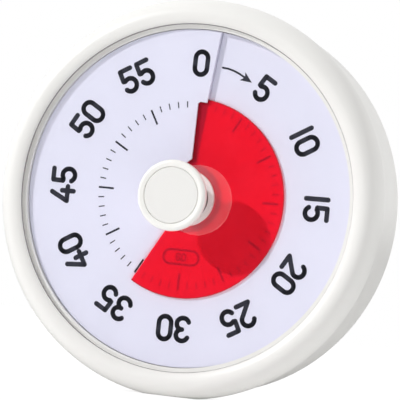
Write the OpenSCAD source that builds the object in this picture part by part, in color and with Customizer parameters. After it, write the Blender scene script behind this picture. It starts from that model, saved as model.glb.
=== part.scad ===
// Visual countdown timer, 60 minutes, with a translucent disc and a central knob.
// Each piece is drawn in the dial frame: x to the right and y up on the dial, z out of
// the dial, with z = 0 at the flat back. placed() turns it to stand on its foot, facing -Y.
// Clock angles run clockwise from the 0 mark.

/* [Body] */
// Diameter of the front bezel
body_d = 193; // [188:1:202]
// Depth from the flat back to the top of the lens
body_depth = 53; // [51:0.5:56]
// Wall thickness of the two mouldings
wall = 2.4; // [2:0.1:2.8]
// Height of the bezel from the parting line to the lens
bezel_h = 15; // [14.2:0.2:16]
// Radial width of the slope from the top of the bezel's crown down to the lens
crown_in_w = 4.6; // [4:0.1:5]
// Depth of the rounded front of the bezel
crown_depth = 12; // [11.4:0.1:12.4]
// How far the crown stands in front of the lens
crown_rise = 1.4; // [1:0.1:1.8]
// How much smaller in radius the rear shell is than the bezel
shell_step = 1.7; // [1.2:0.1:1.9]
// Draft of the rear shell over its depth
shell_draft = 2; // [1.6:0.1:2.4]
// Radius of the round edge at the back
rear_round = 8; // [7:0.5:9]
// Width of the open joint between bezel and rear shell
part_gap = 0.6; // [0.3:0.1:0.9]
// Depth of the flat cut that the timer stands on
foot_cut = 1; // [0.9:0.1:1.4]
// Width of the flat foot
foot_w = 16; // [14:1:20]
// General gap between pieces that don't touch
gap = 0.3; // [0.2:0.05:0.4]

/* [Dial] */
// Radial width of the bezel outside the lens
rim_w = 12.5; // [12.2:0.1:13]
// Width of the ledge under the lens edge
ledge_w = 2.3; // [2.1:0.1:2.7]
// Thickness of the lens
lens_t = 1.8; // [1.5:0.1:2]
// Height of the step in the dial, which is also the pitch of its ramp
pitch = 2.6; // [2.4:0.05:2.8]
// Thickness of the dial sheet
dial_t = 1; // [0.8:0.05:1.1]
// Radius of the hole in the middle of the dial
dial_hole_r = 16.5; // [16:0.1:17]
// Clock angle of the step wall
step_angle = 5.5; // [5:0.1:6.5]
// Clock angle of the slit at the foot of the step
step_slit = 0.2; // [0.15:0.01:0.25]
// How much smaller than the disc the notch in the dial is, in radius
notch_in = 1.6; // [1.3:0.1:1.9]
// Radius of the round in the notch's outer corner
notch_round = 0.9; // [0.6:0.1:1.2]
// How far the corner of the notch is cut back
notch_cut = 2.5; // [2:0.1:3]
// Clock angle that the cut-back corner spans
notch_angle = 11.5; // [10:0.5:13]
// Height of the dial's rim below its lowest sheet
dial_rim_h = 2.5; // [2:0.1:3]
// Width of the flange that carries the dial
flange_w = 7.3; // [6.8:0.1:7.8]
// Thickness of the flange that carries the dial
flange_t = 2; // [1.6:0.1:2.4]

/* [Disc] */
// Outer radius of the coloured disc
film_r = 48.3; // [47:0.1:50]
// Thickness of the coloured disc
film_t = 0.4; // [0.3:0.05:0.5]
// Time shown at rest, in minutes
minutes_set = 35; // [34:1:36]
// Radius of the cup in the disc's hub, round the knob's stem
cup_r = 10.5; // [10.3:0.1:10.8]
// Depth of the cup's floor below the middle of the dial
cup_depth = 4; // [3.8:0.1:4.3]
// Radius of the hub's rim, which the disc sits on
hub_r = 13.4; // [13.1:0.1:13.8]

/* [Knob] */
// Radius of the knob's cap
cap_r = 17; // [15.5:0.1:18]
// Height of the cap's front above the lens
knob_h = 21.6; // [20:0.1:24]
// Thickness of the cap
cap_t = 8; // [7.6:0.1:8.6]
// Thickness of the cap's outer rim
cap_rim_t = 3.4; // [3:0.1:3.8]
// Radius of the back of the cap
cap_back_r = 10.9; // [10.5:0.1:11.5]
// Radius of the insert in the cap's face
insert_r = 13.5; // [12.5:0.1:13.8]
// Thickness of the insert
insert_t = 1.6; // [1.2:0.1:2]
// Radius of the knob's stem
stem_r = 9.3; // [8.8:0.1:9.6]
// Radius of the steel shaft under the knob
shaft_r = 3; // [2.6:0.1:3.2]
// Radius of the shaft's end in the movement
journal_r = 1.5; // [1.3:0.1:1.7]
// Radial clearance of turning fits
run_fit = 0.05; // [0.03:0.01:0.08]

/* [Movement] */
// Room around the wheels in the movement case
case_room = 2; // [1.5:0.1:2.5]
// Thickness of the movement case
case_t = 15; // [14.8:0.1:15.2]
// Gap from the disc's hub to the movement at its lowest
case_front_gap = 0.6; // [0.5:0.1:0.8]
// Wall of the movement case
case_wall = 1.4; // [1.2:0.1:1.6]
// Tooth module of the wheels
tooth = 0.4; // [0.38:0.01:0.41]
// Thickness of the wheels
wheel_t = 1; // [0.9:0.05:1.2]
// Radius of the wheels' steel arbors
arbor_r = 0.75; // [0.65:0.05:0.85]
// Radius of the rotor magnet
rotor_r = 3; // [2.7:0.1:3.2]

/* [Back] */
// Diameter of the battery
battery_d = 14.5; // [14:0.1:14.8]
// Length of the battery with its nub
battery_len = 50.5; // [49:0.5:51.5]
// Height of the battery's middle above the dial's middle
battery_y = 30; // [29.6:0.1:30.4]
// Width of the stand
stand_w = 44; // [40:1:46]
// Length of the stand from its pin
stand_len = 72; // [66:1:73]
// Thickness of the stand
stand_t = 3.2; // [2.8:0.1:3.4]
// Height of the stand's pin above the dial's middle
stand_y = -9; // [-10:0.5:-8.5]
// Radius of the stand's pins
pin_r = 1.1; // [0.9:0.1:1.2]
// Radius of the magnets
magnet_r = 9; // [8:0.5:9.5]
// Thickness of the magnets
magnet_t = 3; // [2.5:0.1:3.4]
// Sideways place of the magnets
magnet_x = 60; // [58:1:61]
// Upright place of the magnets
magnet_y = 28; // [25:1:29]
// Radius of the keyhole's round part
keyhole_r = 4.25; // [4:0.05:4.5]
// Width of the keyhole's slot
keyslot_w = 4.6; // [4.4:0.1:5]
// Distance of the keyhole from the top of the body
keyhole_inset = 26; // [25:1:28]

/* [Electronics] */
// Width of the circuit board
board_w = 64; // [62:1:66]
// Height of the circuit board
board_h = 24; // [23:1:25]
// Thickness of the circuit board
board_t = 1.6; // [1:0.1:1.7]
// Height of the board's middle above the dial's middle
board_y = 54; // [53.6:0.2:54.6]
// Distance from the flat back to the board
board_z = 8; // [7.8:0.1:8.3]
// Radius of the sounder's case
buzzer_r = 11; // [10:0.5:11.5]
// Sideways place of the sounder
buzzer_x = -16; // [-17:0.5:-15]
// Sideways place of the volume switch
switch_x = 19; // [18:0.5:20]
// Travel of the volume switch to each side
switch_travel = 2.5; // [2:0.1:2.8]

/* [Screws] */
// Distance of the case screws from the outside of the body
screw_inset = 17; // [16.6:0.1:17.6]
// Shank radius of the case screws
screw_r = 1.5; // [1.3:0.05:1.6]
// Depth of the case screws' heads below the back
screw_sink = 10; // [9:0.5:11]
// Length of the case screws
screw_len = 16; // [15:0.5:17]
// Where the case screws' posts meet, from the flat back
post_meet = 20; // [19:0.5:21]

/* [Hidden] */

$fn = 96;

// Body
body_r = body_d / 2;
joint_r = body_r - rim_w;
foot_y = -(body_r - foot_cut);
knob_top = body_depth + knob_h;
part_z = body_depth - bezel_h;
crown_r = joint_r + crown_in_w;
crown_z = body_depth + crown_rise;
crown_drop = crown_rise + 0.2;
lens_z = body_depth - lens_t;
ledge_r = joint_r - ledge_w;
case_screw_r = body_r - screw_inset;
keyhole_y = body_r - keyhole_inset;
shell_r = body_r - shell_step;
shell_rear_r = shell_r - shell_draft;
back_flat_r = shell_rear_r - rear_round;
bezel_rear_r = body_r - shell_step / 2;
bezel_in_r = shell_r - wall + gap + 0.3;
lip_t = 1.4;
lip_h = 3;

// Dial: its sheet's middle rises clockwise from dial_low by one pitch a turn
disc_room = 0.5;
dial_low = lens_z - disc_room - film_t / 2 - 1.5 * pitch;
dial_mean = dial_low + pitch / 2 + dial_t / 2;
seat_z = dial_low - dial_t / 2 - dial_rim_h;
dial_r = ledge_r - gap;
dial_rim_t = 1.5;
inner_r = film_r + 0.4;
flange_r = ledge_r - flange_w;

// Disc: the same ramp, half a pitch off the dial, cut along one radius
set_angle = minutes_set * 6;
cut_angle = 0.3;
cup_z = dial_mean - cup_depth;
cup_t = 1.2;
sleeve_r = 6;
turn_down = pitch * set_angle / 360;
turn_up = pitch - turn_down;
stem_z = cup_z + turn_up + 0.55;

// Movement
case_z1 = cup_z - cup_t - 3.7 - turn_down - case_front_gap;
case_z0 = case_z1 - case_t;
sleeve_z = case_z1 + case_front_gap + turn_down;
case_split = case_z0 + case_t / 2;
teeth_out = 72;
teeth_second = 60;
teeth_first = 50;
teeth_pinion = 10;
function pitch_r(n) = n * tooth / 2;
function apart(a, b) = pitch_r(a) + pitch_r(b);
angle_second = 205;
angle_first = 290;
angle_rotor = 350;
function polar(r, a) = [r * cos(a), r * sin(a)];
second_at = polar(apart(teeth_out, teeth_pinion), angle_second);
first_at = second_at + polar(apart(teeth_second, teeth_pinion), angle_first);
rotor_at = first_at + polar(apart(teeth_first, teeth_pinion), angle_rotor);
coil_at = [24, -20];
coil_len = 18;
coil_r = 3.9;
core_w = 3;
case_left = second_at[0] - pitch_r(teeth_second) - case_room - case_wall;
case_right = coil_at[0] + coil_r + 0.5 + case_room + case_wall;
case_low = first_at[1] - pitch_r(teeth_first) - case_room - case_wall;
case_high = pitch_r(teeth_out) + case_room + case_wall;
case_w = case_right - case_left;
case_h = case_high - case_low;
case_x = (case_left + case_right) / 2;
case_y = (case_low + case_high) / 2;
level_step = 4;
first_z = case_z0 + 3;
second_z = first_z + level_step;
out_z = second_z + level_step;
side_play = 0.2;
hub_len = 0.9;
spring_t = 0.8;
clip_t = 0.7;
clip_z = out_z - hub_len - side_play - spring_t - clip_t;
stator_z = first_z + wheel_t + 1.2;
stator_t = 1;
post_x = 38;
post_ys = [10, -26];
post_r = 3.6;
ear_z = case_split - 3;
ear_t = 1.6;
small_screw_r = 1.1;
movement_screw_len = 10;

// Back
bay_len = battery_len + 6;
bay_w = battery_d + 0.8;
bay_z = battery_d + 2.9;
bay_wall = 1.4;
door_t = 1.6;
door_over = 2;
door_gap = 0.2;
battery_z = bay_z - 0.3 - battery_d / 2;
stand_gap = 0.4;
stand_room = stand_t + 0.4;
stand_z = stand_t / 2 + 0.2;
pin_len = 4.5;
magnet_sink = 0.1;
keyslot_len = 8;

// Screws and small things
head_r = 2.8;
head_h = 2;
post_out_r = 3.9;
screw_fit = 0.05;
board_hole_x = 28;
board_hole_y = 8;
board_screw_r = 0.9;
board_screw_len = 5;
slot_w = 3.2;
grille_r = 5;
grille_hole_r = 1;

// Turns a piece from the dial frame to the standing frame
module placed() {
    translate([0, knob_top / 2, -foot_y]) rotate([90, 0, 0]) children();
}

// Points of a quarter ellipse round (cr, cz), from angle a0 to a1
function arc(cr, cz, rr, rz, a0, a1, n) =
    [for (i = [0:n]) let (a = a0 + (a1 - a0) * i / n) [cr + rr * cos(a), cz + rz * sin(a)]];

// Heights of the middle of the dial sheet and of the disc at a clock angle
function dial_mid(a) = dial_low + pitch * a / 360;
function disc_mid(a) = dial_mid(a) - pitch / 2;

// A ring-shaped body built along a list of clock angles. rings(a) gives its radii, and
// top(a, j) and bottom(a, j) its heights on ring j. Cells from the angle cut_from on exist
// only in the rings from keep_ring outwards.
module ramp(angles, rings, top, bottom, keep_ring = 0, cut_from = 1e6) {
    steps = len(angles) - 1;
    m = len(rings(angles[0])) - 1;
    function there(i, j) = i >= 0 && i < steps && j >= 0 && j < m
        && (j >= keep_ring || angles[i] < cut_from - 0.01);
    function at(i, j, side) = (i * (m + 1) + j) * 2 + side;
    points = [for (a = angles) let (radii = rings(a)) for (j = [0:m]) for (side = [0, 1])
        [radii[j] * sin(a), radii[j] * cos(a), side == 0 ? top(a, j) : bottom(a, j)]];
    faces = [for (i = [0:steps]) for (j = [0:m]) each concat(
        there(i, j) ? [
            [at(i, j, 0), at(i + 1, j, 0), at(i + 1, j + 1, 0)],
            [at(i, j, 0), at(i + 1, j + 1, 0), at(i, j + 1, 0)],
            [at(i, j, 1), at(i + 1, j + 1, 1), at(i + 1, j, 1)],
            [at(i, j, 1), at(i, j + 1, 1), at(i + 1, j + 1, 1)]] : [],
        there(i, j) && !there(i - 1, j) ? [
            [at(i, j, 0), at(i, j + 1, 0), at(i, j + 1, 1)],
            [at(i, j, 0), at(i, j + 1, 1), at(i, j, 1)]] : [],
        !there(i, j) && there(i - 1, j) ? [
            [at(i, j, 0), at(i, j + 1, 1), at(i, j + 1, 0)],
            [at(i, j, 0), at(i, j, 1), at(i, j + 1, 1)]] : [],
        there(i, j) && !there(i, j - 1) ? [
            [at(i, j, 0), at(i + 1, j, 1), at(i + 1, j, 0)],
            [at(i, j, 0), at(i, j, 1), at(i + 1, j, 1)]] : [],
        !there(i, j) && there(i, j - 1) ? [
            [at(i, j, 0), at(i + 1, j, 0), at(i + 1, j, 1)],
            [at(i, j, 0), at(i + 1, j, 1), at(i, j, 1)]] : [])];
    polyhedron(points, faces, convexity = 6);
}

// A pan-head screw along +z, its head's underside at z = 0 and its head below
module screw(r, len, hr, hh) {
    difference() {
        union() {
            translate([0, 0, -hh]) cylinder(r = hr, h = hh, $fn = 32);
            cylinder(r = r, h = len, $fn = 24);
        }
        for (turn = [0, 90])
            rotate(turn) translate([-hr * 0.6, -hr * 0.12, -hh - 1])
                cube([hr * 1.2, hr * 0.24, hh * 0.4 + 1]);
    }
}

// Places its children on the four case screw posts
module at_case_screws() {
    for (a = [45:90:315]) rotate(a) translate([case_screw_r, 0, 0]) children();
}

// Places its children on the movement's four posts
module at_movement_posts() {
    for (side = [-1, 1]) for (y = post_ys) translate([side * post_x, y, 0]) children();
}

// Places its children on the circuit board's four posts
module at_board_posts() {
    for (sx = [-1, 1]) for (sy = [-1, 1])
        translate([sx * board_hole_x, board_y + sy * board_hole_y, 0]) children();
}

// A plate with round corners, centred on the origin
module plate(w, h, t, r) {
    linear_extrude(t) union() {
        square([w - 2 * r, h], center = true);
        square([w, h - 2 * r], center = true);
        for (sx = [-1, 1]) for (sy = [-1, 1])
            translate([sx * (w / 2 - r), sy * (h / 2 - r)]) circle(r, $fn = 32);
    }
}

// Half tooth angle of a gear at radius r
function involute(c) = let (a = acos(min(1, c))) tan(a) * 180 / PI - a;
function half_tooth(n, r) =
    let (rp = pitch_r(n), rb = rp * cos(20), play = 0.06 * tooth)
    90 / n - play / rp * 180 / PI + involute(cos(20)) - involute(rb / max(r, rb));

// A spur gear of n teeth, its first tooth's middle at angle turn
module gear(n, t, turn, over, under) {
    rp = pitch_r(n);
    tip = rp + over * tooth;
    root = rp - under * tooth;
    flank = [root, max(root + 0.02, rp - 0.3 * tooth), rp + 0.35 * over * tooth, tip];
    linear_extrude(t) polygon([for (k = [0:n - 1]) each concat(
        [for (r = flank) polar(r, turn + k * 360 / n - half_tooth(n, r))],
        [for (i = [3:-1:0]) polar(flank[i], turn + k * 360 / n + half_tooth(n, flank[i]))])]);
}

// A wheel and the pinion on its arbor, each in mesh along its own line of centres
module wheel_pair(n, wheel_turn, pinion_turn, pinion_h) {
    difference() {
        union() {
            gear(n, wheel_t, wheel_turn, 0.6, 1.25);
            translate([0, 0, wheel_t - 0.1])
                gear(teeth_pinion, pinion_h + 0.1, pinion_turn, 0.85, 0.95);
        }
        translate([0, 0, -1]) cylinder(r = arbor_r + run_fit, h = pinion_h + wheel_t + 2, $fn = 24);
    }
}

module rear_shell() {
    color("whitesmoke") placed() difference() {
        union() {
            rotate_extrude($fn = 180) polygon(concat(
                [[0, 0]],
                arc(back_flat_r, rear_round, rear_round, rear_round, -90, 0, 8),
                [[shell_r, part_z - part_gap], [shell_r - wall, part_z - part_gap]],
                arc(back_flat_r, rear_round, rear_round - wall, rear_round - wall, 0, -90, 6),
                [[0, wall]]));
            // Lip that enters the bezel
            translate([0, 0, part_z - part_gap - lip_h]) difference() {
                cylinder(r = bezel_in_r - gap, h = part_gap + 2 * lip_h, $fn = 180);
                translate([0, 0, -1]) cylinder(r = bezel_in_r - gap - lip_t,
                    h = part_gap + 2 * lip_h + 2, $fn = 180);
            }
            // Flat foot under the shell
            translate([-foot_w / 2, foot_y, rear_round + 2])
                cube([foot_w, wall + 2, part_z - part_gap - rear_round - 2]);
            at_case_screws() cylinder(r = post_out_r, h = post_meet, $fn = 48);
            at_movement_posts() cylinder(r = post_r, h = ear_z, $fn = 48);
            at_board_posts() cylinder(r = 2.6, h = board_z, $fn = 32);
            // Battery bay
            translate([0, battery_y, (bay_z + bay_wall) / 2])
                cube([bay_len + 2 * bay_wall + 2 * door_over, bay_w + 2 * bay_wall + 2 * door_over,
                      bay_z + bay_wall], center = true);
            // Pocket for the stand
            translate([0, stand_y - stand_len / 2 + 1, (stand_room + bay_wall) / 2])
                cube([stand_w + 2 * stand_gap + 2 * pin_len + 2, stand_len + 8,
                      stand_room + bay_wall], center = true);
            for (sx = [-1, 1]) for (sy = [-1, 1]) translate([sx * magnet_x, sy * magnet_y, 0])
                cylinder(r = magnet_r + gap + bay_wall, h = magnet_t + magnet_sink + bay_wall);
        }
        at_case_screws() {
            translate([0, 0, -1]) cylinder(r = head_r + gap, h = screw_sink + 1, $fn = 48);
            cylinder(r = screw_r + gap, h = post_meet + 1, $fn = 32);
        }
        at_movement_posts() translate([0, 0, ear_z - movement_screw_len])
            cylinder(r = small_screw_r + screw_fit, h = movement_screw_len + 1, $fn = 24);
        at_board_posts() translate([0, 0, board_z - board_screw_len])
            cylinder(r = board_screw_r + screw_fit, h = board_screw_len + 1, $fn = 24);
        // Battery bay and the rebate of its door
        translate([0, battery_y, bay_z / 2 - 1]) cube([bay_len, bay_w, bay_z + 2], center = true);
        translate([0, battery_y, -1])
            plate(bay_len + 2 * door_over, bay_w + 2 * door_over, 1 + door_t + 0.2, 2.5);
        // Stand pocket, the holes of its pins and the finger scoop
        translate([-stand_w / 2 - stand_gap, stand_y - stand_len - stand_gap, -1])
            cube([stand_w + 2 * stand_gap, stand_len + stand_gap + stand_t / 2 + stand_gap,
                  stand_room + 1]);
        translate([0, stand_y, stand_z]) rotate([0, 90, 0])
            cylinder(r = pin_r + screw_fit, h = stand_w + 2 * stand_gap + 2 * pin_len,
                     center = true, $fn = 32);
        translate([0, stand_y - stand_len, -1]) cylinder(r = 8, h = stand_room + 1);
        for (sx = [-1, 1]) for (sy = [-1, 1]) translate([sx * magnet_x, sy * magnet_y, -1])
            cylinder(r = magnet_r + gap, h = magnet_t + magnet_sink + 1);
        // Keyhole
        translate([0, keyhole_y, -1]) cylinder(r = keyhole_r, h = wall + 2);
        translate([0, keyhole_y + keyslot_len, -1]) cylinder(r = keyslot_w / 2, h = wall + 2);
        translate([-keyslot_w / 2, keyhole_y, -1]) cube([keyslot_w, keyslot_len, wall + 2]);
        // Sound holes and the slot of the volume switch
        translate([buzzer_x, board_y, -1]) {
            cylinder(r = grille_hole_r, h = wall + 2, $fn = 24);
            for (a = [0:60:300]) rotate(a) translate([grille_r, 0, 0])
                cylinder(r = grille_hole_r, h = wall + 2, $fn = 24);
        }
        translate([switch_x, board_y, wall / 2])
            cube([2 * switch_travel + 4.4, slot_w, wall + 2], center = true);
        // Everything below the foot
        translate([-body_r, foot_y - 10, -1]) cube([body_d, 10, body_depth]);
    }
}

module front_bezel() {
    color("whitesmoke") placed() difference() {
        union() {
            rotate_extrude($fn = 180) polygon(concat(
                [[bezel_rear_r, part_z]],
                arc(crown_r, crown_z - crown_depth, body_r - crown_r, crown_depth, 0, 90, 18),
                arc(crown_r, crown_z - 2 * crown_drop, crown_in_w / cos(30), 2 * crown_drop,
                    90, 150, 8),
                [[joint_r, lens_z], [ledge_r, lens_z - 0.2], [ledge_r, seat_z],
                 [flange_r, seat_z], [flange_r, seat_z - flange_t], [joint_r, seat_z - flange_t],
                 [joint_r, lens_z - 3.2], [joint_r + wall, lens_z - 1]],
                arc(crown_r, crown_z - crown_depth, body_r - crown_r - wall, crown_depth - wall,
                    90, 0, 10),
                [[bezel_in_r, part_z]]));
            at_case_screws() translate([0, 0, post_meet])
                cylinder(r = post_out_r, h = seat_z - flange_t / 2 - post_meet, $fn = 48);
        }
        at_case_screws() translate([0, 0, post_meet - 1])
            cylinder(r = screw_r + screw_fit, h = screw_len, $fn = 32);
        translate([-body_r, foot_y - 10, -1]) cube([body_d, 10, body_depth]);
    }
}

module lens() {
    color([0.85, 0.9, 0.95, 0.3]) placed() translate([0, 0, lens_z]) difference() {
        cylinder(r = joint_r - gap / 2, h = lens_t, $fn = 180);
        translate([0, 0, -1]) cylinder(r = stem_r + gap, h = lens_t + 2);
    }
}

module dial_plate() {
    start = step_angle + step_slit;
    last = 360 + step_angle;
    rim_in = dial_r - dial_rim_t;
    angles = concat([for (i = [0:143]) start + (360 - start) * i / 144],
                    [360, 360.4, 361.2, 360 + step_angle / 2, last - 1, last - 0.7, last]);
    wall_r = inner_r + 0.05;
    // The notch's outer corner is round
    function notch_r(a) = film_r - notch_in
        - max(0, notch_round - max(0, a - 360) * PI / 180 * film_r);
    // The notch's inner corner is cut back where the sheet nears the 0 mark on its high side
    function corner(a) = dial_hole_r
        + (a > 360 ? 0 : max(0, (a - 360 + notch_angle) / notch_angle) * notch_cut);
    // The end of the sheet reaches down to its start and makes the wall of the step
    function under(a) = dial_mid(a > last - 0.8 ? step_angle : a) - dial_t / 2;
    color("lavender") placed()
        ramp(angles,
             function (a) [corner(a), notch_r(a), inner_r, wall_r, rim_in, rim_in + 0.3, dial_r],
             function (a, j) dial_mid(a) + dial_t / 2,
             function (a, j) j > 4 ? seat_z : j > 2 ? under(a) : dial_mid(a) - dial_t / 2,
             1, 360);
}

module case_screws() {
    color("silver") placed() at_case_screws() translate([0, 0, screw_sink])
        screw(screw_r, screw_len, head_r, head_h);
}

module timer_disc() {
    color([0.95, 0.1, 0.2, 0.85]) placed()
        ramp([for (i = [0:120]) set_angle + cut_angle + (360 - 2 * cut_angle) * i / 120],
             function (a) [hub_r + 0.04, film_r],
             function (a, j) disc_mid(a) + film_t / 2, function (a, j) disc_mid(a) - film_t / 2);
}

module disc_hub() {
    rim_top = disc_mid(set_angle + 360) + film_t / 2;
    color("white") placed() difference() {
        union() {
            translate([0, 0, sleeve_z]) cylinder(r = sleeve_r, h = cup_z - sleeve_z - 0.2, $fn = 48);
            translate([0, 0, cup_z - cup_t]) cylinder(r = hub_r, h = rim_top - cup_z + cup_t);
        }
        translate([0, 0, cup_z]) cylinder(r = cup_r, h = rim_top - cup_z + 1);
        translate([0, 0, sleeve_z - 1]) cylinder(r = shaft_r + run_fit, h = body_depth, $fn = 48);
    }
}

module knob_cap() {
    color("white") placed() difference() {
        rotate_extrude($fn = 120) polygon(concat(
            [[0, knob_top - cap_t], [cap_back_r - 0.5, knob_top - cap_t],
             [cap_back_r, knob_top - cap_t + 0.5],
             [cap_r - 0.8, knob_top - cap_rim_t - 0.6], [cap_r, knob_top - cap_rim_t]],
            arc(cap_r - 1.6, knob_top - 1.6, 1.6, 1.6, 0, 90, 8),
            arc(insert_r + 0.8, knob_top - 0.7, 0.7, 0.5, 90, 180, 3),
            [[insert_r + 0.1, knob_top - insert_t - 0.4], [0, knob_top - insert_t - 0.4]]));
        translate([0, 0, knob_top - cap_t - 1]) cylinder(r = stem_r + screw_fit, h = cap_t - 3);
    }
}

module knob_insert() {
    color("white") placed() translate([0, 0, knob_top - insert_t - 0.4])
        rotate_extrude($fn = 120) polygon([[0, 0], [insert_r, 0], [insert_r, insert_t - 0.4],
            [insert_r - 0.4, insert_t], [0, insert_t]]);
}

module knob_stem() {
    top = knob_top - 4.1;
    color("white") placed() difference() {
        translate([0, 0, stem_z]) cylinder(r = stem_r, h = top - stem_z);
        translate([0, 0, stem_z - 1]) cylinder(r = shaft_r + screw_fit, h = top - stem_z - 1, $fn = 48);
    }
}

module timer_shaft() {
    color("silver") placed() {
        translate([0, 0, case_z1 + gap]) cylinder(r = shaft_r, h = knob_top - 6.5 - case_z1, $fn = 48);
        translate([0, 0, case_z0 + case_wall / 2])
            cylinder(r = journal_r, h = case_t + 1, $fn = 32);
    }
}

module clutch_spring() {
    // Dished spring washer that presses the output wheel against the shaft
    color("goldenrod") placed() translate([0, 0, clip_z + clip_t]) rotate_extrude($fn = 48)
        polygon([[journal_r + gap / 2, 0], [2.6, 0], [4.6, spring_t - 0.3], [4.6, spring_t],
                 [2.4, 0.35], [journal_r + gap / 2, 0.35]]);
}

module shaft_clip() {
    color("silver") placed() translate([0, 0, clip_z]) difference() {
        cylinder(r = 3, h = clip_t - 0.05, $fn = 48);
        translate([0, 0, -1]) cylinder(r = journal_r + screw_fit, h = clip_t + 2, $fn = 32);
    }
}

module output_wheel() {
    color("ivory") placed() translate([0, 0, out_z]) difference() {
        union() {
            gear(teeth_out, wheel_t, angle_second, 0.6, 1.25);
            translate([0, 0, -hub_len]) cylinder(r = 3.4, h = hub_len + 0.5, $fn = 48);
        }
        translate([0, 0, -5]) cylinder(r = journal_r + run_fit, h = 10, $fn = 32);
        for (a = [0:60:300]) rotate(a) translate([8.4, 0, -1]) cylinder(r = 2.6, h = wheel_t + 2, $fn = 32);
    }
}

module second_wheel() {
    color("ivory") placed() translate([second_at[0], second_at[1], second_z])
        wheel_pair(teeth_second, angle_first, angle_second + 180 + 180 / teeth_pinion,
                   out_z - second_z + 0.2);
}

module first_wheel() {
    color("ivory") placed() translate([first_at[0], first_at[1], first_z])
        wheel_pair(teeth_first, angle_rotor, angle_first + 180 + 180 / teeth_pinion,
                   second_z - first_z + 0.2);
}

module rotor_pinion() {
    color("ivory") placed() translate([rotor_at[0], rotor_at[1], case_z0 + case_wall + side_play]) {
        up = first_z - case_z0 - case_wall - side_play;
        cylinder(r = arbor_r, h = case_t - 2 * case_wall - 2 * side_play, $fn = 24);
        translate([0, 0, up - 0.2])
            gear(teeth_pinion, wheel_t + 0.4, angle_rotor + 180 + 180 / teeth_pinion, 0.85, 0.95);
    }
}

module rotor_magnet() {
    color("dimgray") placed() translate([rotor_at[0], rotor_at[1], stator_z - 0.5]) difference() {
        cylinder(r = rotor_r, h = stator_t + 1, $fn = 48);
        translate([0, 0, -1]) cylinder(r = arbor_r + 0.02, h = stator_t + 3, $fn = 24);
    }
}

module wheel_arbors() {
    color("silver") placed() for (p = [second_at, first_at])
        translate([p[0], p[1], case_z0 + case_wall / 2])
            cylinder(r = arbor_r, h = case_t - case_wall, $fn = 24);
}

module stator_plate() {
    leg = coil_at[0] - rotor_at[0];
    half = coil_len / 2 + 1.5;
    color("darkgray") placed() translate([0, 0, stator_z]) linear_extrude(stator_t) difference() {
        union() {
            translate(rotor_at) circle(rotor_r + 3.4, $fn = 64);
            for (s = [-1, 1]) translate(coil_at + [-leg, s * half - 1.5]) square([leg + core_w / 2, 3]);
            translate([rotor_at[0] - 1.5, coil_at[1] - half]) square([3, 2 * half]);
        }
        translate(rotor_at) circle(rotor_r + 0.6, $fn = 64);
    }
}

module coil_core() {
    half = coil_len / 2 + 3;
    color("darkgray") placed() translate([coil_at[0], coil_at[1], stator_z + stator_t + 0.6])
        cube([core_w, 2 * half, 1.2], center = true);
}

module coil_bobbin() {
    mid = stator_z + stator_t + 0.6;
    color("ivory") placed() translate([coil_at[0], coil_at[1], mid]) rotate([90, 0, 0]) difference() {
        union() {
            cylinder(r = 2.3, h = coil_len - 2, center = true, $fn = 48);
            for (s = [-1, 1]) translate([0, 0, s * (coil_len / 2 - 1)])
                cylinder(r = coil_r + 0.5, h = 1, center = true, $fn = 48);
        }
        cube([core_w + 0.1, 1.3, coil_len + 2], center = true);
        // Flat under the flanges, clear of the stator plate's legs
    }
}

module coil_winding() {
    color("peru") placed() translate([coil_at[0], coil_at[1], stator_z + stator_t + 0.6])
        rotate([90, 0, 0]) difference() {
            cylinder(r = coil_r, h = coil_len - 3.1, center = true, $fn = 48);
            cylinder(r = 2.3 + 0.02, h = coil_len, center = true, $fn = 48);
        }
}

module movement_case_front() {
    half_h = case_z1 - case_split;
    color("gainsboro") placed() difference() {
        translate([case_x, case_y, case_split]) plate(case_w, case_h, half_h, 4);
        translate([case_x, case_y, case_split - 1])
            plate(case_w - 2 * case_wall, case_h - 2 * case_wall, half_h - case_wall + 1, 2.6);
        translate([0, 0, case_z1 - 5]) cylinder(r = journal_r + run_fit, h = 10, $fn = 32);
        for (p = [second_at, first_at]) translate([p[0], p[1], case_z1 - case_wall - 1])
            cylinder(r = arbor_r + screw_fit, h = 1 + case_wall / 2, $fn = 24);
    }
}

module movement_case_rear() {
    half_h = case_split - case_z0;
    color("gainsboro") placed() difference() {
        union() {
            translate([case_x, case_y, case_z0]) plate(case_w, case_h, half_h, 4);
            for (y = post_ys) translate([0, y, ear_z]) plate(2 * post_x + 8, 8, ear_t, 3.9);
        }
        translate([case_x, case_y, case_z0 + case_wall])
            plate(case_w - 2 * case_wall, case_h - 2 * case_wall, half_h, 2.6);
        translate([0, 0, case_z0 + case_wall / 2]) cylinder(r = journal_r + run_fit, h = 5, $fn = 32);
        for (p = [second_at, first_at]) translate([p[0], p[1], case_z0 + case_wall / 2])
            cylinder(r = arbor_r + screw_fit, h = 5, $fn = 24);
        at_movement_posts() translate([0, 0, ear_z - 1])
            cylinder(r = small_screw_r + gap / 2, h = ear_t + 2, $fn = 24);
    }
}

module movement_screws() {
    color("silver") placed() at_movement_posts() translate([0, 0, ear_z + ear_t]) rotate([180, 0, 0])
        screw(small_screw_r, ear_t + movement_screw_len - 1, 2.1, 1.5);
}

module circuit_board() {
    color("darkgreen") placed() difference() {
        translate([0, board_y, board_z]) plate(board_w, board_h, board_t, 2);
        at_board_posts() translate([0, 0, board_z - 1])
            cylinder(r = board_screw_r + gap / 2, h = board_t + 2, $fn = 24);
    }
}

module board_screws() {
    color("silver") placed() at_board_posts() translate([0, 0, board_z + board_t]) rotate([180, 0, 0])
        screw(board_screw_r, board_t + board_screw_len - 0.6, 1.8, 1.2);
}

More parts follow.
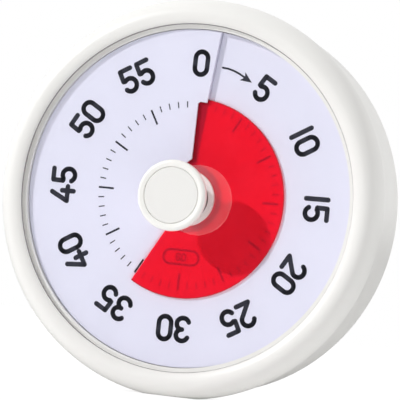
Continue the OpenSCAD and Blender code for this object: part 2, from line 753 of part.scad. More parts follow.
module controller_chip() {
    chip = [9, 7, 1.6];
    color("black") placed() translate([0, board_y + 2, board_z + board_t]) {
        translate([0, 0, 0.2 + chip[2] / 2]) cube(chip, center = true);
        for (s = [-1, 1]) for (k = [-3:3])
            translate([k * 1.2, s * (chip[1] / 2 + 0.5), 0.45]) cube([0.5, 1.4, 0.9], center = true);
    }
}

module quartz_crystal() {
    color("silver") placed() translate([10, board_y - 5, board_z + board_t + 1.5]) rotate([0, 90, 0])
        cylinder(r = 1.5, h = 8, $fn = 32);
}

module buzzer_case() {
    color("black") placed() translate([buzzer_x, board_y, wall]) difference() {
        cylinder(r = buzzer_r, h = board_z - wall - 0.5, $fn = 64);
        translate([0, 0, -1]) cylinder(r = buzzer_r - 2, h = 2.2, $fn = 64);
        cylinder(r = buzzer_r - 1, h = board_z - wall - 1.5, $fn = 64);
    }
}

module buzzer_disc() {
    color("goldenrod") placed() translate([buzzer_x, board_y, wall + 1.4]) {
        cylinder(r = buzzer_r - 1.1, h = 0.3, $fn = 64);
        translate([0, 0, 0.2]) cylinder(r = buzzer_r - 4, h = 0.4, $fn = 64);
    }
}

module switch_housing() {
    size = [2 * switch_travel + 6.4, slot_w + 3, board_z - wall - 0.3];
    color("dimgray") placed() translate([switch_x, board_y, wall + 0.1 + size[2] / 2]) difference() {
        cube(size, center = true);
        translate([0, 0, -size[2] / 2]) cube([size[0] - 2, slot_w, 5], center = true);
    }
}

module switch_knob() {
    color("black") placed() translate([switch_x, board_y, 0]) {
        translate([0, 0, 1.9]) cube([4, slot_w - 0.4, 3.2], center = true);
        for (k = [-1, 0, 1]) translate([k * 1.2, 0, 0.25]) cube([0.5, slot_w - 0.4, 0.3], center = true);
    }
}

module battery() {
    nub = 1.4;
    color("gold") placed() translate([-battery_len / 2 + 1, battery_y, battery_z]) rotate([0, 90, 0]) {
        rotate_extrude($fn = 96) polygon(concat(
            [[0, 0], [battery_d / 2 - 0.6, 0], [battery_d / 2, 0.6]],
            [[battery_d / 2, battery_len - nub - 0.6], [battery_d / 2 - 0.6, battery_len - nub],
             [2.7, battery_len - nub], [2.7, battery_len], [0, battery_len]]));
    }
}

module battery_spring() {
    wire = 0.4;
    turns = 3;
    start = -bay_len / 2 + wire + 0.1;
    rise = 1 - battery_len / 2 - wire - 0.1 - start;
    steps = 16 * turns;
    sides = 8;
    function ring_r(i) = 5 - 2 * i / steps;
    points = [for (i = [0:steps]) for (k = [0:sides - 1])
        let (a = 360 * i / 16, c = 360 * k / sides, r = ring_r(i) + wire * cos(c))
        [start + rise * i / steps + wire * sin(c), battery_y + r * cos(a), battery_z + r * sin(a)]];
    faces = concat(
        [[for (k = [0:sides - 1]) k]],
        [for (i = [0:steps - 1]) for (k = [0:sides - 1]) let (n = (k + 1) % sides)
            each [[i * sides + k, (i + 1) * sides + k, (i + 1) * sides + n],
                  [i * sides + k, (i + 1) * sides + n, i * sides + n]]],
        [[for (k = [sides - 1:-1:0]) steps * sides + k]]);
    color("silver") placed() polyhedron(points, faces, convexity = 6);
}

module battery_contact() {
    t = 0.4;
    color("silver") placed() translate([bay_len / 2 - t - 0.1, battery_y, battery_z]) {
        cube([t, 10, 10], center = true);
        translate([(battery_len / 2 + 1 - bay_len / 2 + t + 0.1) / 2, 0, 0]) rotate([0, 90, 0])
            cylinder(r = 2.2, h = bay_len / 2 - battery_len / 2 - 1 - t - 0.2, center = true, $fn = 32);
    }
}

module battery_door() {
    color("whitesmoke") placed() translate([0, battery_y, 0.1]) difference() {
        plate(bay_len + 2 * door_over - 2 * door_gap, bay_w + 2 * door_over - 2 * door_gap, door_t, 2.3);
        for (k = [-2:2]) translate([bay_len / 2 - 8 + k * 1.8, 0, 0]) cube([0.8, 9, 0.8], center = true);
    }
}

module magnets() {
    color("dimgray") placed() for (sx = [-1, 1]) for (sy = [-1, 1])
        translate([sx * magnet_x, sy * magnet_y, magnet_sink]) cylinder(r = magnet_r, h = magnet_t);
}

module kickstand() {
    color("whitesmoke") placed() difference() {
        union() {
            translate([0, stand_y, stand_z]) rotate([0, 90, 0])
                cylinder(r = stand_t / 2, h = stand_w, center = true, $fn = 48);
            translate([-stand_w / 2, stand_y - stand_len + 8, stand_z - stand_t / 2])
                cube([stand_w, stand_len - 8, stand_t]);
            translate([0, stand_y - stand_len + 8, stand_z - stand_t / 2])
                plate(stand_w, 16, stand_t, 7.9);
        }
        translate([0, stand_y, stand_z]) rotate([0, 90, 0])
            cylinder(r = pin_r + run_fit, h = stand_w + 2, center = true, $fn = 32);
        // Shallow recess in its face
        translate([0, stand_y - stand_len / 2 - 2, -1]) plate(stand_w - 12, stand_len - 22, 1.8, 5);
    }
}

module stand_pins() {
    color("silver") placed() for (s = [-1, 1])
        translate([s * (stand_w / 2 + stand_gap + pin_len / 2 - 2), stand_y, stand_z]) rotate([0, 90, 0])
            cylinder(r = pin_r, h = pin_len + 3.6, center = true, $fn = 32);
}

rear_shell();
front_bezel();
lens();
dial_plate();
case_screws();
timer_disc();
disc_hub();
knob_cap();
knob_insert();
knob_stem();
timer_shaft();
clutch_spring();
shaft_clip();
output_wheel();
second_wheel();
first_wheel();
rotor_magnet();
rotor_pinion();
wheel_arbors();
stator_plate();
coil_core();
coil_bobbin();
coil_winding();
movement_case_front();
movement_case_rear();
movement_screws();
circuit_board();
board_screws();
controller_chip();
quartz_crystal();
buzzer_case();
buzzer_disc();
switch_housing();
switch_knob();
battery();
battery_spring();
battery_contact();
battery_door();
magnets();
kickstand();
stand_pins();
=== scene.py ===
import math
import bpy
import bmesh
from mathutils import Matrix, Vector


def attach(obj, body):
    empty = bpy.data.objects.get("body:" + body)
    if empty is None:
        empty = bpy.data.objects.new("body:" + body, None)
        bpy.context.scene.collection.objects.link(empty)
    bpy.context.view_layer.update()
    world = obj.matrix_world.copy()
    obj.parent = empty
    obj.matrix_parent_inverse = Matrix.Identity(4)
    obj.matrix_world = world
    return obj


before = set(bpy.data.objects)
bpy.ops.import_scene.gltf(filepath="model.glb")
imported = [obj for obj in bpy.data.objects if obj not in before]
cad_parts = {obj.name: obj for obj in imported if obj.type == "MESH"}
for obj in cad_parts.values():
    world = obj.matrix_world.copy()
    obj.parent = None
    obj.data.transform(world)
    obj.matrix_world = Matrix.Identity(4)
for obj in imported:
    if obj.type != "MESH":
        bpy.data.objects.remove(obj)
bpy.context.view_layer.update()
print("frame loaded:", len(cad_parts), "nodes")

# The dial frame: x right and y up on the dial, z out of it, all in millimetres from the
# middle of the flat back. Clock angles are in degrees clockwise from straight up.
timer = {
    "axisHeight": 95.5,
    "backToMiddle": 37.3,
    "lensTop": 53.0,
    "dialLow": 46.6,  # middle of the dial's sheet where its turn begins, straight up
    "dialThick": 1.0,
    "dialStep": 5.6,  # clock angle just past the step between the turn's two ends
    "pitch": 2.6,
    "filmThick": 0.4,
}


def at(x, y, z):
    return Vector((x, timer["backToMiddle"] - z, timer["axisHeight"] + y)) / 1000


def polar(r, clock, z):
    a = math.radians(clock)
    return at(r * math.sin(a), r * math.cos(a), z)


def dialTop(clock):
    return timer["dialLow"] + timer["pitch"] * clock / 360 + timer["dialThick"] / 2


def filmMiddle(clock):
    return timer["dialLow"] + timer["pitch"] * (clock / 360 - 0.5)


cameraLook = {
    "azimuth": 18.75,
    "elevation": -1.4,
    "roll": 6.4,
    "distance": 2.056,
    "aimDepth": 48.4,  # height of the aim above the flat back, in mm
    "picture": 400,
    "pixelsPerRadian": 4279,
    "dialCentre": (188.2, 198.3),  # where the aim falls in the picture, in pixels
    "sensor": 36,
    "clip": (0.05, 60),
}


def makeCamera(c):
    a, e, r = (math.radians(c[k]) for k in ("azimuth", "elevation", "roll"))
    back = Vector((math.sin(a) * math.cos(e), -math.cos(a) * math.cos(e), math.sin(e)))
    turn = (-back).to_track_quat("-Z", "Y").to_matrix() @ Matrix.Rotation(r, 3, "Z")
    across, up = turn.col[0], turn.col[1]
    perPixel = c["distance"] / c["pixelsPerRadian"]
    middle = c["picture"] / 2
    shift = across * ((middle - c["dialCentre"][0]) * perPixel)
    shift += up * ((c["dialCentre"][1] - middle) * perPixel)
    cam = bpy.data.objects.new("camera", bpy.data.cameras.new("camera"))
    bpy.context.scene.collection.objects.link(cam)
    cam.data.sensor_width = c["sensor"]
    cam.data.lens = c["pixelsPerRadian"] / c["picture"] * c["sensor"]
    cam.data.clip_start, cam.data.clip_end = c["clip"]
    place = at(0, 0, c["aimDepth"]) + back * c["distance"] + shift
    cam.matrix_world = Matrix.Translation(place) @ turn.to_4x4()
    bpy.context.scene.camera = cam


makeCamera(cameraLook)
bpy.context.scene.view_settings.view_transform = "Standard"
print("camera placed")


# A shader socket that can be written in plain arithmetic
class Sock:
    def __init__(self, maker, out):
        self.maker, self.out = maker, out

    def maths(self, op, a, b):
        return self.maker.node("ShaderNodeMath", {"operation": op}, {0: a, 1: b})

    def __add__(self, o):
        return self.maths("ADD", self, o)

    def __rsub__(self, o):
        return self.maths("SUBTRACT", o, self)

    def __mul__(self, o):
        return self.maths("MULTIPLY", self, o)

    def atLeast(self, o):
        return self.maths("MAXIMUM", self, o)


class Nodes:
    def __init__(self, tree):
        self.tree = tree
        tree.nodes.clear()

    def node(self, kind, settings=None, values=None, take=0):
        n = self.tree.nodes.new(kind)
        for k, v in (settings or {}).items():
            setattr(n, k, v)
        for k, v in (values or {}).items():
            if isinstance(v, Sock):
                self.tree.links.new(v.out, n.inputs[k])
            elif isinstance(v, tuple) and len(v) == 3 and n.inputs[k].type == "RGBA":
                n.inputs[k].default_value = (*v, 1)
            else:
                n.inputs[k].default_value = v
        return Sock(self, n.outputs[take])

    def place(self):
        return self.node("ShaderNodeTexCoord", take="Object")

    def noise(self, size, detail, rough=0.55):  # size in mm
        return self.node("ShaderNodeTexNoise", {}, {"Vector": self.place(), "Scale": 1000 / size,
                                                    "Detail": detail, "Roughness": rough})

    def spread(self, value, low, high, lowTo=0.0, highTo=1.0):
        return self.node("ShaderNodeMapRange", {"clamp": True},
                         {0: value, 1: low, 2: high, 3: lowTo, 4: highTo})

    def blendColour(self, share, a, b):
        return self.node("ShaderNodeMix", {"data_type": "RGBA"}, {0: share, 6: a, 7: b}, 2)

    def blendNumber(self, share, a, b):
        return self.node("ShaderNodeMix", {"data_type": "FLOAT"}, {0: share, 2: a, 3: b})

    def blendShader(self, share, a, b):
        return self.node("ShaderNodeMixShader", {}, {0: share, 1: a, 2: b})

    def bump(self, height, strength, depth):
        return self.node("ShaderNodeBump", {}, {"Height": height, "Strength": strength, "Distance": depth})

    def principled(self, **values):
        return self.node("ShaderNodeBsdfPrincipled", {}, {k.replace("_", " "): v for k, v in values.items()})

    def emission(self, strength):
        return self.node("ShaderNodeEmission", {}, {"Color": (1.0, 1.0, 1.0), "Strength": strength})

    def ray(self, kind):
        return self.node("ShaderNodeLightPath", take="Is %s Ray" % kind)


class Finish(Nodes):
    def __init__(self, name):
        self.mat = bpy.data.materials.new(name)
        self.mat.use_nodes = True
        super().__init__(self.mat.node_tree)
        self.out = self.tree.nodes.new("ShaderNodeOutputMaterial")

    def surface(self, shader):
        self.tree.links.new(shader.out, self.out.inputs["Surface"])
        return self.mat


def srgb(r, g, b):
    def lin(c):
        c /= 255
        return c / 12.92 if c <= 0.04045 else ((c + 0.055) / 1.055) ** 2.4
    return (lin(r), lin(g), lin(b))


# Sizes are in mm, and each span is the part of a noise that is stretched to its full range
mould = {"toneSize": 28, "toneSpan": (0.35, 0.65), "glossSize": 9, "glossSpan": (0.3, 0.7),
         "glossSwing": 0.15, "fineRough": 0.6, "index": 1.48, "coatRough": 0.08, "peel": 0.12}


def mouldedPlastic(name, colour, rough, mottle=0.02, grain=0.35, depth=0.00002, coat=0.0):
    # Smooth moulding with a faint orange peel, a little uneven in gloss and tone
    f = Finish(name)
    broad = f.noise(mould["toneSize"], 2)
    fine = f.noise(grain, 2, mould["fineRough"])
    dark = tuple(c * (1 - mottle) for c in colour)
    tone = f.blendColour(f.spread(broad, *mould["toneSpan"]), dark, colour)
    gloss = f.spread(f.noise(mould["glossSize"], 3), *mould["glossSpan"],
                     rough * (1 - mould["glossSwing"]), rough * (1 + mould["glossSwing"]))
    peel = f.bump(fine, mould["peel"], depth)
    return f.surface(f.principled(Base_Color=tone, Roughness=gloss, IOR=mould["index"], Coat_Weight=coat,
                                  Coat_Roughness=mould["coatRough"], Normal=peel))


rolled = {"scratchSize": 0.6, "scratchRough": 0.6, "toneSize": 4, "span": (0.3, 0.7), "dark": 0.86,
          "gloss": (0.8, 1.25), "bump": 0.1, "depth": 0.00002}


def metal(name, colour, rough, brushed=0.0):  # a little scratched, with darker patches
    f = Finish(name)
    scratch = f.noise(rolled["scratchSize"], 3, rolled["scratchRough"])
    patches = f.spread(f.noise(rolled["toneSize"], 3), *rolled["span"])
    tone = f.blendColour(patches, tuple(c * rolled["dark"] for c in colour), colour)
    gloss = f.spread(scratch, *rolled["span"], *(rough * g for g in rolled["gloss"]))
    return f.surface(f.principled(Base_Color=tone, Roughness=gloss, Metallic=1.0,
                                  Normal=f.bump(scratch, rolled["bump"] + brushed, rolled["depth"])))


finishes = {
    "shell": mouldedPlastic("shellWhite", srgb(240, 239, 236), 0.38, 0.015, 0.5),
    "knob": mouldedPlastic("knobWhite", srgb(247, 246, 242), 0.34, 0.015),
    "insert": mouldedPlastic("insertWhite", srgb(238, 237, 234), 0.36, 0.015),
    "stem": mouldedPlastic("stemWhite", srgb(214, 208, 208), 0.1, 0.01, 0.6, 0.000005, coat=1.0),
    "dial": mouldedPlastic("dialWhite", srgb(231, 231, 247), 0.55, 0.01, 0.25, 0.00001),
    "hub": mouldedPlastic("hubWhite", srgb(236, 233, 230), 0.4),
    "gear": mouldedPlastic("gearPlastic", srgb(226, 219, 196), 0.42, 0.05),
    "caseGrey": mouldedPlastic("caseGrey", srgb(196, 198, 202), 0.5, 0.05),
    "black": mouldedPlastic("blackPlastic", srgb(38, 38, 40), 0.42, 0.1),
    "ink": mouldedPlastic("printInk", srgb(40, 41, 56), 0.6, 0.08, 0.3, 0.00001),
    # painted shade: a darker red laid on the film along its rim and cut, standing for the shadow of its edge
    "filmEdgeShade": mouldedPlastic("filmEdgeShadeRed", srgb(178, 0, 30), 0.5, 0.05),
    # painted shade: grey for the shadow line round the edge of the clear front
    "seamShade": mouldedPlastic("seamShadeGrey", srgb(132, 128, 130), 0.6, 0.05),
    "steel": metal("steel", srgb(188, 188, 190), 0.3),
    "brass": metal("brass", srgb(205, 168, 96), 0.32),
    "copper": metal("copper", srgb(190, 108, 66), 0.38, 0.3),
    "iron": metal("iron", srgb(96, 97, 102), 0.45, 0.2),
}

# The tint is above 1 to make up for what the skin takes away
clearFront = {"index": 2.4, "tint": (1.0645, 1.0645, 1.065), "rough": 0.012}


def clearSheet(c):  # what is behind shows through, under a mirror-like skin
    f = Finish("clearFront")
    inside = f.node("ShaderNodeNewGeometry", take="Backfacing")
    skin = f.node("ShaderNodeFresnel", {}, {"IOR": c["index"]}) * (1 - inside)
    through = f.node("ShaderNodeBsdfTransparent", {}, {"Color": c["tint"]})
    gloss = f.node("ShaderNodeBsdfGlossy", {}, {"Color": (1.0, 1.0, 1.0), "Roughness": c["rough"]})
    return f.surface(f.blendShader(skin, through, gloss))


redSheet = {"low": (0.97, 0.012, 0.054), "high": (1.0, 0.018, 0.064), "toneSize": 16,
            "toneSpan": (0.35, 0.65), "own": 0.45, "rough": 0.6, "index": 1.2, "through": (1.2, 0.03, 0.06)}


def redFilm(c):  # its own red over a view of the print below, mixed once for each crossing
    f = Finish("redFilm")
    tone = f.blendColour(f.spread(f.noise(c["toneSize"], 3), *c["toneSpan"]), c["low"], c["high"])
    body = f.principled(Base_Color=tone, Roughness=c["rough"], IOR=c["index"])
    inside = f.node("ShaderNodeNewGeometry", take="Backfacing")
    tint = f.blendColour(inside, c["through"], (1.0, 1.0, 1.0))
    through = f.node("ShaderNodeBsdfTransparent", {}, {"Color": tint})
    return f.surface(f.blendShader((1 - inside) * c["own"], through, body))


boardTracks = {"Scale": 160.0, "Mortar Size": 0.02, "Color1": (0.02, 0.14, 0.06),
               "Color2": (0.025, 0.17, 0.07), "Mortar": (0.05, 0.26, 0.12)}


def boardGreen(c):
    f = Finish("boardGreen")
    track = f.node("ShaderNodeTexBrick", {"offset": 0.5}, {"Vector": f.place(), **c})
    return f.surface(f.principled(Base_Color=track, Roughness=0.35, Coat_Weight=0.4))


cellWrap = {"sleeve": (34, 34, 38), "end": (196, 148, 60), "endFrom": (0.0085, 0.0086)}  # metres along x


def batteryWrap(c):
    f = Finish("batteryWrap")
    x = f.node("ShaderNodeSeparateXYZ", {}, {0: f.place()}, 0)
    tone = f.blendColour(f.spread(x, *c["endFrom"]), srgb(*c["sleeve"]), srgb(*c["end"]))
    return f.surface(f.principled(Base_Color=tone, Roughness=0.28, Metallic=0.3, Coat_Weight=0.5,
                                  Coat_Roughness=0.1))


finishes["clear"] = clearSheet(clearFront)
finishes["film"] = redFilm(redSheet)
finishes["board"] = boardGreen(boardTracks)
finishes["battery"] = batteryWrap(cellWrap)
print("finishes made:", len(finishes))

nodeFinish = {
    "shell": ["rear_shell", "front_bezel", "battery_door", "kickstand"],
    "knob": ["knob_cap"],
    "insert": ["knob_insert"],
    "stem": ["knob_stem"],
    "hub": ["disc_hub"],
    "clear": ["lens"],
    "dial": ["dial_plate"],
    "film": ["timer_disc"],
    "steel": ["case_screws", "timer_shaft", "shaft_clip", "wheel_arbors", "movement_screws",
              "board_screws", "quartz_crystal", "battery_spring", "battery_contact", "stand_pins"],
    "brass": ["clutch_spring", "buzzer_disc"],
    "copper": ["coil_winding"],
    "gear": ["output_wheel", "second_wheel", "first_wheel", "rotor_pinion", "coil_bobbin"],
    "iron": ["stator_plate", "coil_core", "rotor_magnet", "magnets"],
    "caseGrey": ["movement_case_front", "movement_case_rear"],
    "board": ["circuit_board"],
    "black": ["controller_chip", "buzzer_case", "switch_housing", "switch_knob"],
    "battery": ["battery"],
}
for kind, names in nodeFinish.items():
    for name in names:
        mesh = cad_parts[name].data
        for i in range(max(1, len(mesh.materials))):
            if i < len(mesh.materials):
                mesh.materials[i] = finishes[kind]
            else:
                mesh.materials.append(finishes[kind])
print("finishes put on the nodes")


def piece(name, shape, finish, body):  # shape: points and faces
    mesh = bpy.data.meshes.new(name)
    mesh.from_pydata([tuple(v) for v in shape[0]], [], shape[1])
    mesh.validate()
    bm = bmesh.new()
    bm.from_mesh(mesh)
    bmesh.ops.remove_doubles(bm, verts=bm.verts, dist=1e-7)
    bmesh.ops.recalc_face_normals(bm, faces=bm.faces)
    bm.to_mesh(mesh)
    bm.free()
    obj = bpy.data.objects.new(name, mesh)
    bpy.context.scene.collection.objects.link(obj)
    mesh.materials.append(finishes[finish])
    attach(obj, body)


def joined(parts):
    verts, faces = [], []
    for v, f in parts:
        base = len(verts)
        verts += v
        faces += [tuple(i + base for i in face) for face in f]
    return verts, faces


# What all print on the dial shares, in mm
printed = {"centre": (-0.4, 1.25), "lift": 0.04, "minuteTurn": 6}


def onDial(radius, clock, scale=1.0):
    # A place on the print: u clockwise, v outward, both in mm
    a = math.radians(clock)
    cx = printed["centre"][0] + radius * math.sin(a)
    cy = printed["centre"][1] + radius * math.cos(a)

    def place(u, v, lift):
        x = cx + scale * (u * math.cos(a) + v * math.sin(a))
        y = cy + scale * (v * math.cos(a) - u * math.sin(a))
        t = math.degrees(math.atan2(x, y)) % 360
        return at(x, y, dialTop(t + 360 if t < timer["dialStep"] else t) + lift)
    return place


def arcPoints(cx, cy, rx, ry, a0, a1, n=14):
    return [(cx + rx * math.cos(math.radians(a0 + (a1 - a0) * i / n)),
             cy + ry * math.sin(math.radians(a0 + (a1 - a0) * i / n))) for i in range(n + 1)]


# Points nearer than near count as one, and a bend whose cosine is above straight needs no round corner
brush = {"closed": 1e-6, "near": 1e-4, "straight": 0.9999, "roundSides": 24}


def ribbon(points, width, lift, spot):  # a flat stroke with round ends
    closed = math.dist(points[0], points[-1]) < brush["closed"]
    points = [Vector(p) for p in (points[:-1] if closed else points)]
    pts = [points[0]]
    for p in points[1:]:
        if (p - pts[-1]).length > brush["near"]:
            pts.append(p)
    half = width / 2
    verts, faces = [], []

    def add(p):
        verts.append(spot(p.x, p.y, lift))
        return len(verts) - 1

    def disc(p):
        turns = (2 * math.pi * k / brush["roundSides"] for k in range(brush["roundSides"]))
        faces.append(tuple(add(p + Vector((half * math.cos(t), half * math.sin(t)))) for t in turns))

    n = len(pts)
    for i in range(n if closed else n - 1):
        a, b = pts[i], pts[(i + 1) % n]
        d = (b - a).normalized()
        s = Vector((-d.y, d.x)) * half
        faces.append((add(a + s), add(a - s), add(b - s), add(b + s)))
    for i in range(n):
        a, b, c = pts[i - 1], pts[i], pts[(i + 1) % n]
        end = not closed and i in (0, n - 1)
        if end or (b - a).normalized().dot((c - b).normalized()) < brush["straight"]:
            disc(b)
    return verts, faces


numerals = {
    "radius": 63.8,
    # How far each numeral lies off its even place: mm outward, degrees clockwise
    "shift": {0: (0.2, -0.1), 5: (-0.6, 0.4), 10: (0.0, -0.6), 15: (1.0, -1.1), 20: (0.3, 0.9),
              25: (0.8, 0.2), 30: (0.4, -0.3), 35: (-0.5, -0.7), 40: (-0.2, -1.0), 45: (-0.1, -0.6),
              50: (-0.4, 0.2), 55: (-0.4, -0.4)},
    "halfHigh": 5.5,
    "halfWide": 3.1,
    "gap": 9.05,
    "gapAfterOne": 6.9,
    "stroke": 2.35,
    "strokeRise": 0.0004,  # each stroke lies this much above the one before, so that none coincide
}


def digitStrokes(digit):  # middle lines of the strokes round the digit's middle
    h, w = numerals["halfHigh"], numerals["halfWide"]
    oval = arcPoints(0, h - w, w, w, 0, 180) + arcPoints(0, w - h, w, w, 180, 360)
    bowl = arcPoints(0, w - h, w, w, 0, 360, 24)
    return {
        "0": [oval + [oval[0]]],
        "1": [[(0, h), (0, -h)]],
        "2": [arcPoints(0, h - w, w, w, 165, -30) + [(-w, -h), (w + 0.2, -h)]],
        "3": [arcPoints(0, h - 2.75, w - 0.1, 2.75, 158, -75, 16) + [(0.2, 0.05)],
              [(0.2, 0.05)] + arcPoints(0, 2.85 - h, w, 2.85, 75, -158, 16)],
        "4": [[(0.6, h), (-w - 0.3, -2.4), (w + 0.5, -2.4)], [(1.5, 0.4), (1.5, -h)]],
        "5": [[(w - 0.2, h), (-w + 0.5, h), (-w + 0.3, 0.5)] + arcPoints(0, 3.2 - h, w, 3.2, 126, -152, 18)],
        "6": [bowl[:-1] + [bowl[0]], arcPoints(0, h - w, w, w, 20, 180) + [(-w, w - h)]],
    }[digit]


def writeNumber(strokes, number, radius, clock, stroke, scale=1.0, upright=False):
    digits = str(number)
    gaps = [numerals["gapAfterOne"] if d == "1" else numerals["gap"] for d in digits[:-1]]
    spot = onDial(radius, clock, scale)
    turn = math.radians(clock if upright else 0)
    u = -sum(gaps) / 2
    for digit, gap in zip(digits, gaps + [0]):
        for line in digitStrokes(digit):
            moved = [(p[0] + u, p[1]) for p in line]
            moved = [(p[0] * math.cos(turn) - p[1] * math.sin(turn),
                      p[0] * math.sin(turn) + p[1] * math.cos(turn)) for p in moved]
            lift = printed["lift"] + numerals["strokeRise"] * len(strokes)
            strokes.append(ribbon(moved, stroke / scale, lift, spot))
        u += gap


def allNumerals(c):
    strokes = []
    for minute, (outward, clockwise) in c["shift"].items():
        clock = minute * printed["minuteTurn"] + clockwise
        writeNumber(strokes, minute, c["radius"] + outward, clock, c["stroke"])
    return joined(strokes)


piece("numerals", allNumerals(numerals), "ink", "case")

# Length and width of the ticks, which are turned a little against the numerals and begin at minute 2
ticks = {"from": 2, "turn": -0.27, "outer": 45.4, "short": (3.0, 0.55), "long": (7.7, 0.95)}


def minuteTicks(c):
    parts = []
    for minute in range(c["from"], 60):
        spot = onDial(0, minute * printed["minuteTurn"] + c["turn"])
        length, width = c["long"] if minute % 5 == 0 else c["short"]
        inner, outer, w, lift = c["outer"] - length, c["outer"], width / 2, printed["lift"]
        parts.append(([spot(-w, inner, lift), spot(w, inner, lift), spot(w, outer, lift),
                       spot(-w, outer, lift)], [(0, 1, 2, 3)]))
    return joined(parts)


piece("minuteTicks", minuteTicks(ticks), "ink", "case")

# The points are pairs of radius and clock angle round the middle of the print
arrow = {
    "tail": [(63.75, 9.1), (63.98, 11.6), (63.93, 14.2), (63.6, 17.0), (63.05, 19.9)],
    "tailWide": 0.95,
    "head": [(62.5, 24.1), (65.5, 19.3), (63.1, 20.2), (60.8, 18.4)],
    "headHalves": ((0, 1, 2), (0, 2, 3)),
    "headRise": 0.002,
}


def directionArrow(c):
    tail = [(r * math.sin(math.radians(t)), r * math.cos(math.radians(t))) for r, t in c["tail"]]
    parts = [ribbon(tail, c["tailWide"], printed["lift"], onDial(0, 0))]
    for half in c["headHalves"]:
        lift = printed["lift"] + c["headRise"]
        parts.append(([onDial(*c["head"][i])(0, 0, lift) for i in half], [(0, 1, 2)]))
    return joined(parts)


piece("directionArrow", directionArrow(arrow), "ink", "case")

badge = {"number": 60, "at": (0.1, -29.8), "size": (17.9, 6.9), "line": 0.9, "stroke": 0.6, "scale": 0.3,
         "endSteps": 12}


def badgeOutline(c):
    (x, y), (wide, high) = c["at"], c["size"]
    r, half, n = high / 2, (wide - high) / 2, c["endSteps"]
    loop = arcPoints(x + half, y, r, r, -90, 90, n) + arcPoints(x - half, y, r, r, 90, 270, n)
    outline = ribbon(loop + [loop[0]], c["line"], printed["lift"], onDial(0, 0))
    clock = math.degrees(math.atan2(x, y))
    strokes = []
    writeNumber(strokes, c["number"], math.hypot(x, y), clock, c["stroke"], c["scale"], True)
    return joined([outline] + strokes)


piece("badgeOutline", badgeOutline(badge), "ink", "case")
print("dial print made")

# The red disc's edges: a painted shade line, darker red, round its rim and along the cut where its turn
# begins, and a narrow lip past the cut where its turn ends, which is the one that shows at rest
discEdge = {"radius": 48.3, "inner": 13.5, "wide": 0.4, "lip": 0.75, "steps": 180, "lift": 0.015,
            "from": 210.3, "to": 569.7}


def discRim(c):
    verts = []
    top = timer["filmThick"] / 2 + c["lift"]
    for i in range(c["steps"] + 1):
        t = c["from"] + (c["to"] - c["from"]) * i / c["steps"]
        for r in (c["radius"] - c["wide"], c["radius"]):
            verts.append(polar(r, t, filmMiddle(t) + top))
    return verts, [(2 * i, 2 * i + 1, 2 * i + 3, 2 * i + 2) for i in range(c["steps"])]


def discStrip(c, clock, across):  # a strip beside a cut, as wide as across, on its clockwise side
    a = math.radians(clock)
    z = filmMiddle(clock) + timer["filmThick"] / 2 + c["lift"]
    verts = []
    for r in (c["inner"], c["radius"] - c["wide"] / 2):
        x, y = r * math.sin(a), r * math.cos(a)
        verts += [at(x, y, z), at(x + across * math.cos(a), y - across * math.sin(a), z)]
    return verts, [(0, 1, 3, 2)]


piece("discRim", discRim(discEdge), "filmEdgeShade", "disc")
piece("discLip", discStrip(discEdge, discEdge["to"], discEdge["lip"]), "film", "disc")
piece("discCutShade", discStrip(discEdge, discEdge["from"], discEdge["wide"]), "filmEdgeShade", "disc")
print("disc edges made")

# The painted shadow line round the edge of the clear front: a flat grey ring, drawn wider at the upper left,
# where the bezel's shade falls on its seat
lensSeamShade = {"radius": 83.98, "width": 0.33, "swing": 0.26, "widest": 296, "lift": 0.02, "steps": 240}


def seamRing(c):
    verts, faces = [], []
    n = c["steps"]
    for i in range(n):
        t = 360 * i / n
        wide = c["width"] + c["swing"] * math.cos(math.radians(t - c["widest"]))
        for r in (c["radius"] - wide, c["radius"]):
            verts.append(polar(r, t, timer["lensTop"] + c["lift"]))
        k = (i + 1) % n
        faces.append((2 * i, 2 * i + 1, 2 * k + 1, 2 * k))
    return verts, faces


piece("lensSeamShade", seamRing(lensSeamShade), "seamShade", "case")
print("lens seam made")

# The way to the lamp is in the dial frame: right, up and out of the dial
keyLamp = {"toward": (-0.656, 0.437, 0.616), "strength": 1.78, "angle": 1.6}


def sun(c):
    data = bpy.data.lights.new("keyLamp", "SUN")
    data.energy, data.angle = c["strength"], math.radians(c["angle"])
    obj = bpy.data.objects.new("keyLamp", data)
    bpy.context.scene.collection.objects.link(obj)
    right, up, out = c["toward"]
    obj.matrix_world = (-Vector((right, -out, up))).to_track_quat("-Z", "Y").to_matrix().to_4x4()


sun(keyLamp)

# The room's light grows to the right, to the back and upward. The part in front that shiny faces
# mirror is dim, and frontSpan is where it ends, from front to back.
room = {"right": 0.15, "back": 0.29, "up": 1.18, "front": 0.02, "frontSpan": (-0.75, -0.35)}


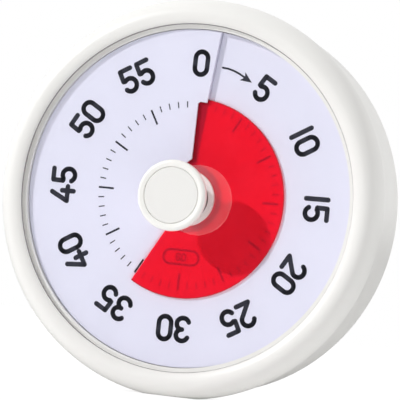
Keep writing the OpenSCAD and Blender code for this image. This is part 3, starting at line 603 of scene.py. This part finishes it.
def whiteBackground(c):
    # White to the camera, an uneven soft light to all else
    world = bpy.data.worlds.new("studio")
    bpy.context.scene.world = world
    world.use_nodes = True
    f = Nodes(world.node_tree)
    toward = f.node("ShaderNodeTexCoord", take="Generated")
    x, y, z = (f.node("ShaderNodeSeparateXYZ", {}, {0: toward}, i) for i in range(3))
    soft = (x * c["right"] + y * c["back"] + z * c["up"]).atLeast(0.0)
    mirrored = f.spread(y, *c["frontSpan"], c["front"], 1.0)
    strength = f.blendNumber(f.ray("Glossy"), soft, mirrored)
    strength = f.blendNumber(f.ray("Camera").atLeast(f.ray("Transmission")), strength, 1.0)
    light = f.node("ShaderNodeBackground", {}, {"Color": (1.0, 1.0, 1.0), "Strength": strength})
    out = f.tree.nodes.new("ShaderNodeOutputWorld")
    f.tree.links.new(light.out, out.inputs["Surface"])


floorLook = {"tone": 0.86, "rough": 0.8, "grainSize": 0.8, "grain": 0.05, "grainDepth": 0.00002, "glow": 0.22,
             "shadow": 0.3, "shadowLit": 0.8, "mirrored": 0.02, "half": 6}


def paleFloor(c):
    # White to the camera but for a faint shadow, dim in a mirror, a plain pale surface to all else
    f = Finish("paleFloor")
    grain = f.bump(f.noise(c["grainSize"], 2), c["grain"], c["grainDepth"])
    plain = f.principled(Base_Color=(c["tone"],) * 3, Roughness=c["rough"], Normal=grain,
                         Emission_Color=(1.0, 1.0, 1.0), Emission_Strength=c["glow"])
    plain = f.blendShader(f.ray("Glossy"), plain, f.emission(c["mirrored"]))
    faint = f.node("ShaderNodeBsdfDiffuse", {}, {"Color": (c["shadow"],) * 3})
    glow = f.emission(1 - c["shadow"] * c["shadowLit"])
    shown = f.node("ShaderNodeAddShader", {}, {0: faint, 1: glow})
    f.surface(f.blendShader(f.ray("Camera"), plain, shown))
    mesh = bpy.data.meshes.new("floor")
    s = c["half"]
    mesh.from_pydata([(-s, -s, 0), (s, -s, 0), (s, s, 0), (-s, s, 0)], [], [(0, 1, 2, 3)])
    mesh.materials.append(f.mat)
    floor = bpy.data.objects.new("floor", mesh)
    bpy.context.scene.collection.objects.link(floor)


whiteBackground(room)
paleFloor(floorLook)
print("lamps, world and floor set")
